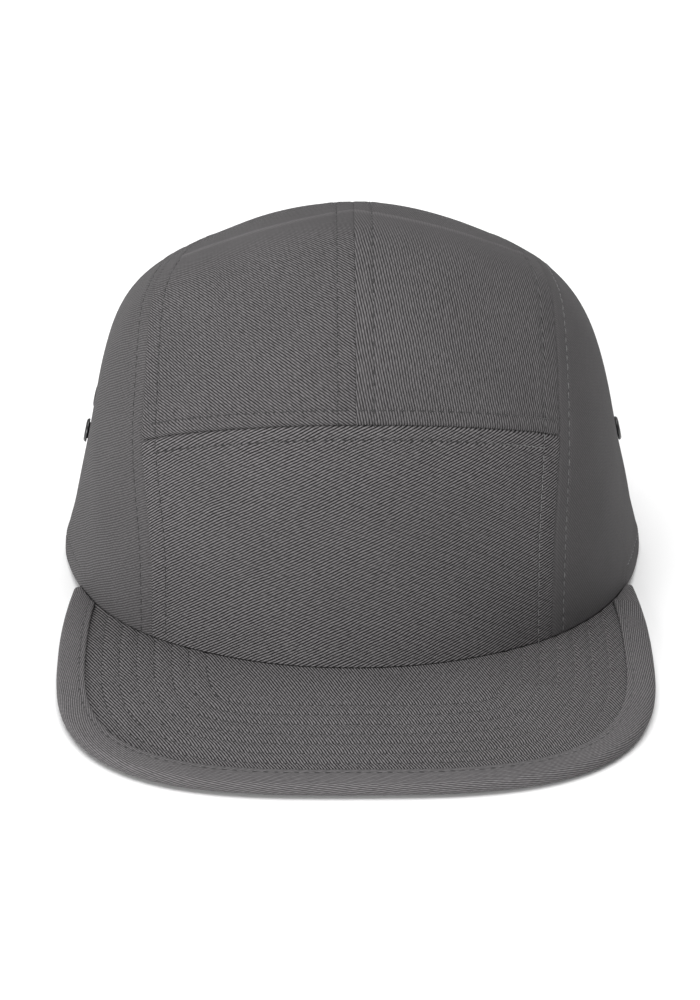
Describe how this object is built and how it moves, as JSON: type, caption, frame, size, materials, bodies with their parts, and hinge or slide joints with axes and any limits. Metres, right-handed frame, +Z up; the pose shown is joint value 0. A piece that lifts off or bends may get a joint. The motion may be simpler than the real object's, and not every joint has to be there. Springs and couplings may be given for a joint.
{
  "type": "five panel cap",
  "caption": "Low camper cap of twill with a wide front panel, two top panels, two side panels with eyelets, a short flat bound brim, and a strap closure at the back.",
  "frame": {"origin": "on the surface the cap stands on, halfway along and across the whole cap", "axes": "+Z up through the crown, -Y towards the front of the brim, +X towards the wearer's left"},
  "size_m": [0.1704, 0.2576, 0.1219],
  "materials": {
    "crown_twill": "matt grey cotton twill with fine slanted ribs",
    "brim_twill": "matt grey cotton twill over a stiff board, sewn in close rows",
    "binding_twill": "grey twill cut on the bias and folded round the edge",
    "band_cloth": "plain grey cotton, matt",
    "strap_webbing": "dark grey woven webbing",
    "clip_plastic": "black moulded plastic, lightly textured",
    "black_eyelet": "black lacquered metal, satin"
  },
  "bodies": {
    "root": {"front_panel": "crown_twill", "top_panel_left": "crown_twill", "top_panel_right": "crown_twill", "side_panel_left": "crown_twill", "side_panel_right": "crown_twill", "brim": "brim_twill", "brim_binding": "binding_twill", "sweatband": "band_cloth", "strap_left": "strap_webbing", "strap_right": "strap_webbing", "strap_clip": "clip_plastic", "eyelet_left_front": "black_eyelet", "eyelet_left_rear": "black_eyelet", "eyelet_right_front": "black_eyelet", "eyelet_right_rear": "black_eyelet"}
  },
  "joints": []
}
